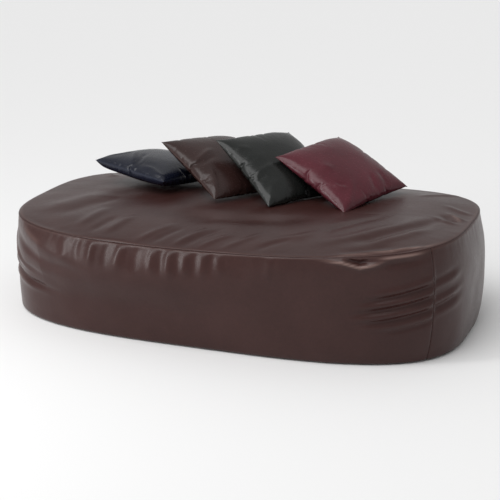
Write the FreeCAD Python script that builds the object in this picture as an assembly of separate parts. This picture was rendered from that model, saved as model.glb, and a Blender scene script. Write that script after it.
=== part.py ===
import FreeCAD, Part
import math
import os

from FreeCAD import Placement, Rotation, Vector

# A floor lounger filled with polystyrene beads, with four loose scatter cushions in a row on it.
# All sizes are in millimetres. The origin is the centre of the base, on the floor. +X runs along
# the length, +Y to the rear and +Z up.

# ---- bag: outline and heights
BAG_LENGTH = 1800.0  # along X, at the top seam
BAG_WIDTH = 1100.0  # along Y, at the top seam
OUTLINE_POWER = 3.2  # 2 is an ellipse, larger is squarer
CROWN_HEIGHT = 430.0  # floor to the middle of the top
TOP_EDGE_WIDTH = 150.0  # the top rounds over this far in from its seam
TOP_EDGE_RADIUS = 320.0
SIDE_BULGE = 20.0  # the side swells past the seam by this at half height
BASE_TUCK = 22.0  # the side draws in to the base by this
BASE_TUCK_HEIGHT = 60.0
SIDE_SEAM_TURN = 23.0  # degrees from +X, clockwise from above, of the upright seam at the front

# ---- bag: sheet thicknesses and the spaces between them
COVER_THICKNESS = 2.0  # coated cloth with its knitted backing
LINER_THICKNESS = 1.0
LINER_SIDE_SPACE = 11.0  # cover to liner at the side: room for the zip
LINER_FLAT_SPACE = 3.0  # cover to liner at the top and base
FILL_SPACE = 1.0  # liner to beads

# ---- zip in the rear of the side
ZIP_HEIGHT = 130.0  # floor to the middle of the zip
ZIP_SLOT_LENGTH = 360.0
ZIP_SLOT_WIDTH = 16.0
TAPE_THICKNESS = 0.8
TAPE_GRIP_SPACE = 0.3  # either side of the tape in the slots of teeth and stops
TAPE_LAP = 9.0  # tape behind the cover, past the slot's edge
TAPE_END_LAP = 14.0
TOOTH_PITCH = 4.0
TOOTH_LENGTH = 1.9  # along the zip
TOOTH_DEPTH = 3.4  # across the zip
TOOTH_THICKNESS = 2.8  # through the tape
TOOTH_NOSE = 0.45  # share of a tooth's depth that stands past the tape's edge
TOOTH_ROUND = TOOTH_THICKNESS / 6
NECK_WIDTH = 1.2  # web that joins the slider's two plates
RUNNING_CLEARANCE = 0.35  # slider to teeth
SLIDER_LENGTH = 15.0
SLIDER_WIDTH = 11.0
SLIDER_ROUND = SLIDER_WIDTH / 3
NECK_SETBACK = SLIDER_LENGTH / 6  # from the slider's middle to its neck
PLATE_THICKNESS = 1.3
STOP_LENGTH = 3.0
PULL_LENGTH = 30.0
PULL_WIDTH = 7.0
PULL_THICKNESS = 1.2
PULL_ROUND = PULL_WIDTH / 4
PULL_HOLE_RADIUS = 1.8
PIN_RADIUS = 0.7
PIN_CLEARANCE = 0.08
KNUCKLE_RADIUS = 1.6
KNUCKLE_WIDTH = 4.0
LUG_WIDTH = 1.2

# ---- scatter cushions
CUSHION_SIDE = 395.0  # corner to corner along an edge
CUSHION_THICKNESS = 104.0
EDGE_PULL = 0.06  # a filled cover draws its edges in between the corners
EDGE_POWER = 1.1  # 1 is a round edge, more makes it sharper
CASE_THICKNESS = 2.0
SEAM_ALLOWANCE = 5.0  # the two case panels are joined over this width
PAD_SPACE = 1.0
RESTING_GAP = 1.5  # between one cushion and what it lies on

# Each cushion lies on the ones before it: place of its middle, then yaw about Z, lean about its
# own Y and roll about its own X, in degrees. Its height follows from what is under it.
CUSHION_ROW = [
    {"name": "navy", "x": -473.0, "y": 239.0, "yaw": -20.0, "lean": 5.0, "roll": -5.0},
    {"name": "brown", "x": -167.0, "y": 192.0, "yaw": -31.0, "lean": 26.0, "roll": -3.0},
    {"name": "black", "x": 67.0, "y": 199.0, "yaw": -31.0, "lean": 32.0, "roll": -1.0},
    {"name": "burgundy", "x": 316.0, "y": 245.0, "yaw": -21.0, "lean": 27.0, "roll": 2.0},
]

# ---- values that follow from those above
OUTLINE_POINTS = 48
SURFACE_POINTS = 13
EDGE_DROP = TOP_EDGE_RADIUS - math.sqrt(TOP_EDGE_RADIUS**2 - TOP_EDGE_WIDTH**2)
SEAM_HEIGHT = CROWN_HEIGHT - EDGE_DROP
LINER_INSET = COVER_THICKNESS + LINER_SIDE_SPACE
LINER_FLOOR = COVER_THICKNESS + LINER_FLAT_SPACE
FILL_INSET = LINER_INSET + LINER_THICKNESS + FILL_SPACE
FILL_FLOOR = LINER_FLOOR + LINER_THICKNESS + FILL_SPACE
TEETH_GAP = NECK_WIDTH + 2 * RUNNING_CLEARANCE
FAR = 2 * (BAG_LENGTH + BAG_WIDTH)  # longer than anything here


def side_outset(height):
    """How far the side stands out past the top seam at this height."""
    swell = SIDE_BULGE * math.sin(math.pi * height / SEAM_HEIGHT)
    tuck = BASE_TUCK * max(0.0, 1 - height / BASE_TUCK_HEIGHT) ** 2
    return swell - tuck


def half_sizes(offset):
    return BAG_LENGTH / 2 + offset, BAG_WIDTH / 2 + offset


def outline(offset, height):
    """The bag's outline, offset outwards, as a closed wire at this height."""
    half_length, half_width = half_sizes(offset)
    points = []
    for step in range(OUTLINE_POINTS):
        turn = 2 * math.pi * step / OUTLINE_POINTS
        across = abs(math.cos(turn) / half_length) ** OUTLINE_POWER
        along = abs(math.sin(turn) / half_width) ** OUTLINE_POWER
        reach = (across + along) ** (-1 / OUTLINE_POWER)
        points.append(Vector(reach * math.cos(turn), reach * math.sin(turn), height))
    curve = Part.BSplineCurve()
    curve.interpolate(Points=points, PeriodicFlag=True)
    return Part.Wire([curve.toShape()])


def side_block(inset, floor, top):
    """The space inside the bag's side, from floor to top, drawn in by inset."""
    levels = [0.0, 0.05, 0.11, 0.2, 0.35, 0.5, 0.65, 0.8, 1.0]
    heights = [floor + (top - floor) * level for level in levels]
    return Part.makeLoft([outline(side_outset(z) - inset, z) for z in heights], True, False)


def top_block(inset, lower):
    """The space under the bag's rounded top, drawn in by inset and lowered."""
    wires = []
    for step in range(5):
        reach = TOP_EDGE_WIDTH * (1 - step / 4)
        rise = math.sqrt(TOP_EDGE_RADIUS**2 - reach**2) - TOP_EDGE_RADIUS
        wires.append(outline(reach - TOP_EDGE_WIDTH - inset, CROWN_HEIGHT - lower + rise))
    return Part.makeLoft(wires, True, False)


def box(low, high):
    size = [high[i] - low[i] for i in range(3)]
    return Part.makeBox(*size, Vector(*low))


def mirrored_z(shape, height):
    return shape.mirror(Vector(0, 0, height), Vector(0, 0, 1))


def save(name, shape):
    if not shape.isValid() or shape.Volume <= 0:
        raise ValueError(name + " is not a sound solid")
    shape.exportStep("parts/" + name + ".step")
    print(name, len(shape.Solids), round(shape.Volume / 1e3, 2), "cm3")


# ---------------------------------------------------------------- cover of the bag


def make_cover():
    """Top, base and the two lengths of side, each its own sheet, meeting edge to edge."""
    top = top_block(0, 0).cut(top_block(COVER_THICKNESS, COVER_THICKNESS))
    whole_side = side_block(0, 0, SEAM_HEIGHT)
    inner_side = side_block(COVER_THICKNESS, 0, SEAM_HEIGHT)
    base_slab = box((-FAR, -FAR, 0), (FAR, FAR, COVER_THICKNESS))
    base = whole_side.common(base_slab)
    ring = whole_side.cut(inner_side).cut(base_slab)
    rear_space = box((-FAR, 0, -FAR), (FAR, FAR, FAR))
    rear_space.rotate(Vector(0, 0, 0), Vector(0, 0, 1), -SIDE_SEAM_TURN)
    slot_half = ZIP_SLOT_WIDTH / 2
    slot = box(
        (-ZIP_SLOT_LENGTH / 2, 0, ZIP_HEIGHT - slot_half),
        (ZIP_SLOT_LENGTH / 2, FAR, ZIP_HEIGHT + slot_half),
    )
    save("top_panel", top)
    save("base_panel", base)
    save("side_panel_front", ring.cut(rear_space))
    save("side_panel_rear", ring.common(rear_space).cut(slot))


# ---------------------------------------------------------------- liner and beads


def make_liner():
    """An inner bag of thin cloth in three sheets, which hangs clear of the cover."""
    liner_top = SEAM_HEIGHT - LINER_FLOOR
    inner_inset = LINER_INSET + LINER_THICKNESS
    inner_floor = LINER_FLOOR + LINER_THICKNESS
    outer = side_block(LINER_INSET, LINER_FLOOR, liner_top)
    ring = outer.cut(side_block(inner_inset, LINER_FLOOR, liner_top))
    base_slab = box((-FAR, -FAR, 0), (FAR, FAR, inner_floor))
    save("liner_base", outer.common(base_slab))
    save("liner_side", ring.cut(base_slab))
    top = top_block(LINER_INSET, LINER_FLOOR).cut(top_block(inner_inset, inner_floor))
    save("liner_top", top)


def make_filling():
    """The beads, as the one mass that they fill the liner with."""
    low = side_block(FILL_INSET, FILL_FLOOR, SEAM_HEIGHT - FILL_FLOOR)
    save("bead_filling", low.fuse(top_block(FILL_INSET, FILL_FLOOR)).removeSplitter())


# ---------------------------------------------------------------- zip


def tape_middle(core, x, height=ZIP_HEIGHT):
    """Y of the middle of the tape's thickness; core is the space inside that middle."""
    line = Part.makeLine(Vector(x, 0, height), Vector(x, FAR, height))
    return max(vertex.Y for vertex in core.common(line).Vertexes)


def tape_slot(core, x, length, near, far):
    """Cut that lets a tooth or stop sit over the tape, between two distances from the middle."""
    low, high = sorted((ZIP_HEIGHT + near, ZIP_HEIGHT + far))
    half = TAPE_THICKNESS / 2 + TAPE_GRIP_SPACE
    y = tape_middle(core, x, (low + high) / 2)
    return box((x - length, y - half, low), (x + length, y + half, high))


def make_zip():
    """Two tapes against the back of the rear panel, each with a row of teeth on its edge.

    The rows stand apart by the width of the slider's neck, so that the neck can run between them.
    """
    half_height = ZIP_SLOT_WIDTH / 2 + TAPE_LAP
    half_length = ZIP_SLOT_LENGTH / 2 + TAPE_END_LAP
    edge = TEETH_GAP / 2 + TOOTH_DEPTH * TOOTH_NOSE
    core = side_block(COVER_THICKNESS + TAPE_THICKNESS / 2, 0, SEAM_HEIGHT)
    skin = side_block(COVER_THICKNESS, 0, SEAM_HEIGHT).cut(
        side_block(COVER_THICKNESS + TAPE_THICKNESS, 0, SEAM_HEIGHT)
    )
    upper = skin.common(
        box((-half_length, 0, ZIP_HEIGHT + edge), (half_length, FAR, ZIP_HEIGHT + half_height))
    )
    lower = skin.common(
        box((-half_length, 0, ZIP_HEIGHT - half_height), (half_length, FAR, ZIP_HEIGHT - edge))
    )
    save("zip_tape_upper", upper)
    save("zip_tape_lower", lower)

    count = int((ZIP_SLOT_LENGTH / 2 - 2 * STOP_LENGTH) / TOOTH_PITCH)
    near, far = TEETH_GAP / 2, TEETH_GAP / 2 + TOOTH_DEPTH
    for name, side in (("zip_teeth_upper", 1), ("zip_teeth_lower", -1)):
        low, high = sorted((ZIP_HEIGHT + side * near, ZIP_HEIGHT + side * far))
        teeth = []
        for step in range(-count, count + 1):
            x = step * TOOTH_PITCH
            y = tape_middle(core, x)
            tooth = box(
                (x - TOOTH_LENGTH / 2, y - TOOTH_THICKNESS / 2, low),
                (x + TOOTH_LENGTH / 2, y + TOOTH_THICKNESS / 2, high),
            )
            across = [e for e in tooth.Edges if abs(e.tangentAt(0).x) > 0.9]
            tooth = tooth.makeFillet(TOOTH_ROUND, across)
            teeth.append(tooth.cut(tape_slot(core, x, TOOTH_LENGTH, side * edge, side * far)))
        save(name, Part.makeCompound(teeth))

    # stops: one clamp across both tapes at each end of the rows
    end = (count + 0.5) * TOOTH_PITCH
    for name, side in (("zip_stop_closed", 1), ("zip_stop_open", -1)):
        first, last = sorted((side * end, side * (end + STOP_LENGTH)))
        middle = (first + last) / 2
        y = tape_middle(core, middle)
        stop = box(
            (first, y - TOOTH_THICKNESS / 2, ZIP_HEIGHT - far),
            (last, y + TOOTH_THICKNESS / 2, ZIP_HEIGHT + far),
        )
        for edge_side in (1, -1):
            stop = stop.cut(
                tape_slot(core, middle, STOP_LENGTH, edge_side * edge, edge_side * far)
            )
        save(name, stop)
    make_slider(core, end)


def make_slider(core, end):
    """Slider at the closed end, with its pull lying back along the zip."""
    travel_end = end - SLIDER_LENGTH / 2 - RUNNING_CLEARANCE
    middle = tape_middle(core, travel_end)
    rise = tape_middle(core, 0) - middle  # the rows stand proud by this at half travel
    back = middle - TOOTH_THICKNESS / 2 - RUNNING_CLEARANCE
    front = middle + TOOTH_THICKNESS / 2 + RUNNING_CLEARANCE + rise
    half_width = SLIDER_WIDTH / 2
    start, stop = travel_end - SLIDER_LENGTH / 2, travel_end + SLIDER_LENGTH / 2
    plates = [
        box(
            (start, y, ZIP_HEIGHT - half_width),
            (stop, y + PLATE_THICKNESS, ZIP_HEIGHT + half_width),
        )
        for y in (back - PLATE_THICKNESS, front)
    ]
    rounded = []
    for plate in plates:
        corners = [e for e in plate.Edges if abs(e.tangentAt(0).y) > 0.9]
        rounded.append(plate.makeFillet(SLIDER_ROUND, corners))
    neck = box(
        (travel_end + NECK_SETBACK, back, ZIP_HEIGHT - NECK_WIDTH / 2),
        (stop - PLATE_THICKNESS, front, ZIP_HEIGHT + NECK_WIDTH / 2),
    )
    outer = front + PLATE_THICKNESS
    pin_y = outer + KNUCKLE_RADIUS + RUNNING_CLEARANCE
    pin_at = Vector(travel_end, pin_y, ZIP_HEIGHT)
    half_knuckle = KNUCKLE_WIDTH / 2
    lug_low = half_knuckle + RUNNING_CLEARANCE
    up = Vector(0, 0, 1)
    lugs = []
    for low in (ZIP_HEIGHT + lug_low, ZIP_HEIGHT - lug_low - LUG_WIDTH):
        foot = box(
            (travel_end - KNUCKLE_RADIUS, outer, low),
            (travel_end + KNUCKLE_RADIUS, pin_y, low + LUG_WIDTH),
        )
        head = Part.makeCylinder(KNUCKLE_RADIUS, LUG_WIDTH, Vector(travel_end, pin_y, low), up)
        lugs.append(foot.fuse(head))
    span = lug_low + LUG_WIDTH / 2
    pin = Part.makeCylinder(PIN_RADIUS, 2 * span, pin_at - up * span, up)
    slider = rounded[0].multiFuse([rounded[1], neck, pin] + lugs).removeSplitter()
    save("zip_slider", slider)

    bore = Part.makeCylinder(PIN_RADIUS + PIN_CLEARANCE, 2 * PULL_WIDTH, pin_at - up * PULL_WIDTH, up)
    knuckle = Part.makeCylinder(KNUCKLE_RADIUS, KNUCKLE_WIDTH, pin_at - up * half_knuckle, up)
    half_pull = PULL_WIDTH / 2
    shoulder = travel_end - KNUCKLE_RADIUS - 2 * RUNNING_CLEARANCE
    half_plate = PULL_THICKNESS / 2
    stem = box(
        (shoulder - PULL_WIDTH / 2, pin_y - half_plate, ZIP_HEIGHT - half_knuckle),
        (travel_end, pin_y + half_plate, ZIP_HEIGHT + half_knuckle),
    )
    tab = box(
        (travel_end - PULL_LENGTH, pin_y - half_plate, ZIP_HEIGHT - half_pull),
        (shoulder, pin_y + half_plate, ZIP_HEIGHT + half_pull),
    )
    corners = [e for e in tab.Edges if abs(e.tangentAt(0).y) > 0.9]
    tab = tab.makeFillet(PULL_ROUND, corners)
    hole_at = Vector(travel_end - PULL_LENGTH + PULL_WIDTH / 2, pin_y - PULL_WIDTH, ZIP_HEIGHT)
    hole = Part.makeCylinder(PULL_HOLE_RADIUS, 2 * PULL_WIDTH, hole_at, Vector(0, 1, 0))
    pull = knuckle.multiFuse([stem, tab]).cut(bore).cut(hole).removeSplitter()
    save("zip_pull", pull)
    print("slider travel", round(2 * travel_end, 2), "pull axis at", pin_at)


# ---------------------------------------------------------------- scatter cushions


def pillow_height(along, across, thickness):
    """Half thickness of a filled cushion; along and across run from -1 to 1, edge to edge."""
    return thickness / 2 * max(0.0, (1 - along**2) * (1 - across**2)) ** (EDGE_POWER / 2)


def pillow_point(along, across, side, thickness):
    half = side / 2
    x = half * along * (1 - EDGE_PULL * (1 - across**2))
    y = half * across * (1 - EDGE_PULL * (1 - along**2))
    return Vector(x, y, pillow_height(along, across, thickness))


def steps(count):
    """From -1 to 1, closer together towards both ends."""
    return [math.sin(math.pi * (i / (count - 1) - 0.5)) for i in range(count)]


def pillow_face(side, thickness):
    """The upper face of a cushion, lying about its own middle."""
    rows = []
    for along in steps(SURFACE_POINTS):
        rows.append([pillow_point(along, across, side, thickness) for across in steps(SURFACE_POINTS)])
    surface = Part.BSplineSurface()
    surface.interpolate(rows)
    return surface.toShape()


def half_pillow(side, thickness):
    """Upper half of a cushion, closed by the flat of its seam."""
    upper = pillow_face(side, thickness)
    seam_flat = Part.Face(Part.Wire(Part.__sortEdges__(upper.Edges)))
    shell = Part.Shell([upper, seam_flat])
    shell.sewShape()
    solid = Part.Solid(shell)
    if solid.Volume < 0:
        solid.reverse()
    return solid


def cushion_top(cushion, x, y):
    """Height of a placed cushion's upper face above this place, or None beside it."""
    place = cushion["placement"]
    normal = place.Rotation.multVec(Vector(0, 0, 1))
    z = place.Base.z
    for attempt in range(12):
        local = place.inverse().multVec(Vector(x, y, z))
        along = local.x / (CUSHION_SIDE / 2)
        across = local.y / (CUSHION_SIDE / 2)
        if max(abs(along), abs(across)) >= 1:
            return None
        pull = 1 - EDGE_PULL * (1 - across**2), 1 - EDGE_PULL * (1 - along**2)
        along, across = along / pull[0], across / pull[1]
        if max(abs(along), abs(across)) >= 1:
            return None
        z += (pillow_height(along, across, CUSHION_THICKNESS) - local.z) * normal.z
    return z


def bag_top(x, y):
    """Height of the bag's top, or None beside it."""
    half_length, half_width = half_sizes(0)
    reach = (abs(x / half_length) ** OUTLINE_POWER + abs(y / half_width) ** OUTLINE_POWER) ** (
        1 / OUTLINE_POWER
    )
    if reach > 1:
        return None
    from_flat = max(0.0, TOP_EDGE_WIDTH - (1 - reach) * half_width)
    return CROWN_HEIGHT - TOP_EDGE_RADIUS + math.sqrt(TOP_EDGE_RADIUS**2 - from_flat**2)


def rest_cushion(cushion, earlier):
    """Lower a cushion until it lies on the bag or on a cushion before it."""
    turn = Rotation(cushion["yaw"], cushion["lean"], cushion["roll"])
    height = 0.0
    for along in steps(31):
        for across in steps(31):
            point = pillow_point(along, across, CUSHION_SIDE, CUSHION_THICKNESS)
            below = turn.multVec(Vector(point.x, point.y, -point.z))
            x, y = cushion["x"] + below.x, cushion["y"] + below.y
            under = [cushion_top(other, x, y) for other in earlier] + [bag_top(x, y)]
            highest = max([z for z in under if z is not None], default=0.0)
            height = max(height, highest - below.z)
    cushion["placement"] = Placement(Vector(cushion["x"], cushion["y"], height + RESTING_GAP), turn)


def make_cushions():
    case_inner = CUSHION_SIDE - 2 * SEAM_ALLOWANCE, CUSHION_THICKNESS - 2 * CASE_THICKNESS
    pad_side = case_inner[0] - 2 * PAD_SPACE
    pad_thickness = case_inner[1] - 2 * PAD_SPACE
    front = half_pillow(CUSHION_SIDE, CUSHION_THICKNESS).cut(half_pillow(*case_inner))
    back = mirrored_z(front, 0)
    half_pad = half_pillow(pad_side, pad_thickness)
    pad = half_pad.fuse(mirrored_z(half_pad, 0)).removeSplitter()
    for number, cushion in enumerate(CUSHION_ROW):
        rest_cushion(cushion, CUSHION_ROW[:number])
        place = cushion["placement"]
        for piece, shape in (("front", front), ("back", back), ("pad", pad)):
            placed = shape.copy()
            placed.Placement = place.multiply(placed.Placement)
            save(cushion["name"] + "_cushion_" + piece, placed)
        print(cushion["name"], "cushion middle", place.Base)


os.makedirs("parts", exist_ok=True)
make_cover()
make_liner()
make_filling()
make_zip()
make_cushions()
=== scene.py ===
import math

import bmesh
import bpy
import numpy as np
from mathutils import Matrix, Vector, noise


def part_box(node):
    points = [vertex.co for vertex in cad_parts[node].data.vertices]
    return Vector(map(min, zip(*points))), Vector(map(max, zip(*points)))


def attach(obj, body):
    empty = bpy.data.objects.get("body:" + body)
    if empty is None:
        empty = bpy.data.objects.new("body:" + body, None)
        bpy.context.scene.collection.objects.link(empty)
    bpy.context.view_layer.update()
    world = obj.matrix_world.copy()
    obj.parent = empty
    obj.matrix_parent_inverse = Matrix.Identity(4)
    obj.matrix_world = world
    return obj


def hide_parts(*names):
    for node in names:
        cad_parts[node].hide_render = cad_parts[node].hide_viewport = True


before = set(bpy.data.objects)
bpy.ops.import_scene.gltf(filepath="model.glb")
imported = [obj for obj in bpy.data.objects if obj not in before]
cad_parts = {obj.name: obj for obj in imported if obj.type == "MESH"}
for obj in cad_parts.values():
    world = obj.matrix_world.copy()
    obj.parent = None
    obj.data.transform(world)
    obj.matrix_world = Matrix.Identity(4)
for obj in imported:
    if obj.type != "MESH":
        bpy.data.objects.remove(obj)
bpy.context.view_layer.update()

scene = bpy.context.scene

# ---------------------------------------------------------------- bag: the shape that the beads fill
# A floor bag as big as a bed. The beads push the cover out to a rounded rectangle, low at the front
# and mounded up at both ends. Everything that is sewn to the cover starts from this shape.

TOP_LOW, TOP_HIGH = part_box("top_panel")
HALF_LENGTH = TOP_HIGH.x
HALF_WIDTH = TOP_HIGH.y
SEAM_HEIGHT = TOP_LOW.z - 0.003
OUTLINE_POWER = 3.2
SEAM_TILT = 0.0195  # the seam climbs towards the right end
SEAM_DISH = 0.0276  # and towards both ends
CROWN = 0.045  # beads stand above the seam by this in the middle
BASE_LONGER = 1.013
BASE_NARROWER = 0.955
SIDE_SWELL = 0.024
SWELL_POWER = 2.6
SLUMP_CALM = 0.5  # the swell halves where the beads slump forward, and at the left end
LEFT_END = (0.80, 0.95)  # the left end starts and is full at these shares of the way left
ROLL_DROP = 0.30  # how far down the side the roll under the seam is fullest
ROLL_DEPTH = 0.033
ROLL_TAIL = 0.36  # and how much further down it dies away
UPRIGHT_SEAM = math.radians(-23)
TURN_IN = 0.0045  # every seam is sunk by this
LIP = 0.007  # the vinyl rolls into a seam over this
RING_GAPS = np.array([0, 0.0004, 0.0012, 0.0024, 0.0042, 0.007, 0.011])  # close rows beside a seam
FOLD_FADE = 0.35  # the share of a fold's length that each end dies away over
FOLD_LEFT = 0.05  # and what is left of its height at the tip


def outline_reach(turn, half_length, half_width):
    """Distance from the middle of a rounded rectangle to its edge, in each direction."""
    across = np.abs(np.cos(turn) / half_length) ** OUTLINE_POWER
    along = np.abs(np.sin(turn) / half_width) ** OUTLINE_POWER
    return (across + along) ** (-1 / OUTLINE_POWER)


def seam_height(x):
    share = x / HALF_LENGTH
    return SEAM_HEIGHT + SEAM_TILT * share + SEAM_DISH * share**2


def eased(share):
    """The same share from 0 to 1, starting and ending gently."""
    return share * share * (3 - 2 * share)


def side_place(turn, drop):
    """Point on the side: drop is 0 at the top seam and 1 on the floor."""
    upper = outline_reach(turn, HALF_LENGTH, HALF_WIDTH)
    lower = outline_reach(turn, HALF_LENGTH * BASE_LONGER, HALF_WIDTH * BASE_NARROWER)
    front_left = np.clip(-np.sin(turn) * 1.3, 0, 1) * np.clip(0.75 - np.cos(turn) * 1.6, 0, 1)
    left_end = np.clip((-np.cos(turn) - LEFT_END[0]) / (LEFT_END[1] - LEFT_END[0]), 0, 1)
    swell = SIDE_SWELL * (1 - SLUMP_CALM * front_left - SLUMP_CALM * left_end)
    front_left = front_left * (1 - left_end)
    out = upper * (1 - drop) + lower * drop + swell * (1 - np.abs(2 * drop - 1) ** SWELL_POWER)
    # at the front left the beads have slumped forward, into a roll just under the seam
    above = 1 - (1 - np.clip(drop / ROLL_DROP, 0, 1)) ** 2
    below = eased(np.clip(1 - (drop - ROLL_DROP) / ROLL_TAIL, 0, 1))
    out += ROLL_DEPTH * front_left * np.where(drop < ROLL_DROP, above, below)
    height = seam_height(upper * np.cos(turn)) * (1 - drop)
    return np.stack([out * np.cos(turn), out * np.sin(turn), height], -1)


def top_place(reach, turn):
    """Point on the top: reach is 0 in the middle and 1 at the seam."""
    out = outline_reach(turn, HALF_LENGTH, HALF_WIDTH) * reach
    x, y = out * np.cos(turn), out * np.sin(turn)
    return np.stack([x, y, seam_height(x) + CROWN * (1 - reach**3)], -1)


def roll_share(distance, width=LIP):
    """1 at a seam, falling to 0 at the far side of the rounded lip beside it."""
    inside = np.clip(1 - distance / width, 0, 1)
    return 1 - np.sqrt(1 - inside**2)


def spaced(length, step):
    """Places along a length, with a few close ones at each end for the rolled lip."""
    low = RING_GAPS
    high = length - RING_GAPS[::-1]
    count = int(round((high[0] - low[-1]) / step))
    middle = np.linspace(low[-1], high[0], count + 1)
    return np.concatenate([low[:-1], middle, high[1:]])


def new_piece(name, bm, smooth=True):
    mesh = bpy.data.meshes.new(name)
    bm.to_mesh(mesh)
    bm.free()
    piece = bpy.data.objects.new(name, mesh)
    scene.collection.objects.link(piece)
    if smooth:
        mesh.polygons.foreach_set("use_smooth", [True] * len(mesh.polygons))
    return piece


def places_of(mesh):
    co = np.empty(len(mesh.vertices) * 3, np.float32)
    mesh.vertices.foreach_get("co", co)
    return co.reshape(-1, 3).astype(float)


def set_places(mesh, places):
    mesh.vertices.foreach_set("co", places.astype(np.float32).ravel())
    mesh.update()


def normals_of(mesh):
    facing = np.empty(len(mesh.vertices) * 3, np.float32)
    mesh.vertices.foreach_get("normal", facing)
    return facing.reshape(-1, 3).astype(float)


def fold(places, path, width, height):
    """Height of a soft ridge, or a valley if height is below 0, along a path of points."""
    path = np.array(path, float)
    lengths = np.linalg.norm(np.diff(path, axis=0), axis=1)
    starts = np.concatenate([[0], np.cumsum(lengths)])
    nearest = np.full(len(places), 1e9)
    along = np.zeros(len(places))
    for i, length in enumerate(lengths):
        run = (path[i + 1] - path[i]) / length
        offset = places - path[i]
        t = np.clip(offset @ run, 0, length)
        distance = np.linalg.norm(offset - t[:, None] * run, axis=1)
        closer = distance < nearest
        nearest = np.where(closer, distance, nearest)
        along = np.where(closer, (starts[i] + t) / starts[-1], along)
    ends = eased(np.clip(np.minimum(along, 1 - along) / FOLD_FADE, 0, 1))
    return height * np.exp(-((nearest / width) ** 2)) * (FOLD_LEFT + (1 - FOLD_LEFT) * ends)


def ripple(places, size, seed):
    """Soft random unevenness, about from -1 to 1, with lumps of this size."""
    offset = Vector((seed * 7.3, seed * 3.1, seed * 5.7))
    return np.array([noise.noise(Vector(p) / size + offset) for p in places])


# ---------------------------------------------------------------- vinyl
# Coated upholstery vinyl: a fine embossed leather grain under a satin top coat, on knitted
# backing. The sheet is never quite even in colour or gloss. It is painted paler on creases, fold
# crests and seam lips: painted highlight, with some wear.


def shader_parts(name):
    material = bpy.data.materials.new(name)
    material.use_nodes = True
    tree = material.node_tree
    return material, tree, tree.nodes["Principled BSDF"]


def add_node(tree, kind, inputs=None, **settings):
    node = tree.nodes.new(kind)
    for key, value in settings.items():
        setattr(node, key, value)
    for key, value in (inputs or {}).items():
        if isinstance(value, bpy.types.NodeSocket):
            tree.links.new(value, node.inputs[key])
        else:
            node.inputs[key].default_value = value
    return node


def vinyl(name, dark, light, sheen_and_wear, roughness=0.31, gloss_level=0.26):
    """Embossed vinyl between two shades, going to a pale shade on ridges: painted highlight, with some wear.
    """
    material, tree, surface = shader_parts(name)
    place = add_node(tree, "ShaderNodeTexCoord").outputs["Object"]
    cloudy = add_node(tree, "ShaderNodeTexNoise",
                      {"Vector": place, "Scale": 5.0, "Detail": 5.0, "Roughness": 0.6})
    mottled = add_node(tree, "ShaderNodeTexNoise", {"Vector": place, "Scale": 90.0, "Detail": 3.0})
    cells = add_node(tree, "ShaderNodeTexVoronoi", {"Vector": place, "Scale": 520.0},
                     feature="DISTANCE_TO_EDGE")
    pebbles = add_node(tree, "ShaderNodeTexVoronoi",
                       {"Vector": place, "Scale": 260.0, "Randomness": 1.0}, feature="SMOOTH_F1")
    slack = add_node(tree, "ShaderNodeTexNoise",
                     {"Vector": place, "Scale": 22.0, "Detail": 2.0, "Distortion": 0.6})
    spread = add_node(tree, "ShaderNodeMapRange",
                      {"Value": cloudy.outputs["Fac"], "From Min": 0.35, "From Max": 0.65})
    shade = add_node(tree, "ShaderNodeMix",
                     {"Factor": spread.outputs["Result"], "A": (*dark, 1), "B": (*light, 1)},
                     data_type="RGBA")
    speck = add_node(tree, "ShaderNodeMapRange",
                     {"Value": mottled.outputs["Fac"], "To Min": 0.86, "To Max": 1.12})
    specked = add_node(tree, "ShaderNodeMix",
                       {"Factor": 1.0, "A": shade.outputs["Result"], "B": speck.outputs["Result"]},
                       data_type="RGBA", blend_type="MULTIPLY")
    # pale shade on fold crests, seam lips and fold edges: painted highlight, with some wear
    ridge = add_node(tree, "ShaderNodeAttribute", attribute_name="ridge")
    sheen_and_wear_mix = add_node(tree, "ShaderNodeMix",
                   {"Factor": ridge.outputs["Fac"], "A": specked.outputs["Result"], "B": (*sheen_and_wear, 1)},
                   data_type="RGBA")
    tree.links.new(sheen_and_wear_mix.outputs["Result"], surface.inputs["Base Color"])
    gloss = add_node(tree, "ShaderNodeMapRange",
                     {"Value": mottled.outputs["Fac"],
                      "To Min": roughness - 0.05, "To Max": roughness + 0.07})
    tree.links.new(gloss.outputs["Result"], surface.inputs["Roughness"])
    wave = add_node(tree, "ShaderNodeBump",
                    {"Height": slack.outputs["Fac"], "Strength": 0.12, "Distance": 0.006})
    grain = add_node(tree, "ShaderNodeBump",
                     {"Height": pebbles.outputs["Distance"], "Strength": 0.22, "Distance": 0.0006,
                      "Normal": wave.outputs["Normal"]})
    creases = add_node(tree, "ShaderNodeBump",
                       {"Height": cells.outputs["Distance"], "Strength": 0.25, "Distance": 0.0003,
                        "Normal": grain.outputs["Normal"]})
    tree.links.new(creases.outputs["Normal"], surface.inputs["Normal"])
    surface.inputs["Specular IOR Level"].default_value = gloss_level
    return material


PANEL_WALL = 0.0018
# dark, light and pale shade; the pale one is painted on crests, lips and fold edges as painted highlight,
# with some wear
BAG_COLOURS = ((0.036, 0.0135, 0.0118), (0.044, 0.0175, 0.0155), (0.25, 0.165, 0.145))
bag_vinyl = vinyl("bag_vinyl", *BAG_COLOURS)


def mark_ridges(piece, amount):
    """Stores how pale each point is painted, for the vinyl's colour: painted highlight, with some wear."""
    attribute = piece.data.attributes.new("ridge", "FLOAT", "POINT")
    attribute.data.foreach_set("value", np.clip(amount, 0, 1).astype(np.float32))


def finish_panel(piece, material):
    piece.data.materials.append(material)
    wall = piece.modifiers.new("wall", "SOLIDIFY")
    wall.thickness = PANEL_WALL
    wall.offset = -1
    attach(piece, "bag")


# ---------------------------------------------------------------- side of the bag
# Two lengths of vinyl joined by two upright seams, one near the front right corner and one at the
# rear left. The top edge is gathered a little where it is sewn to the top.

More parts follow.
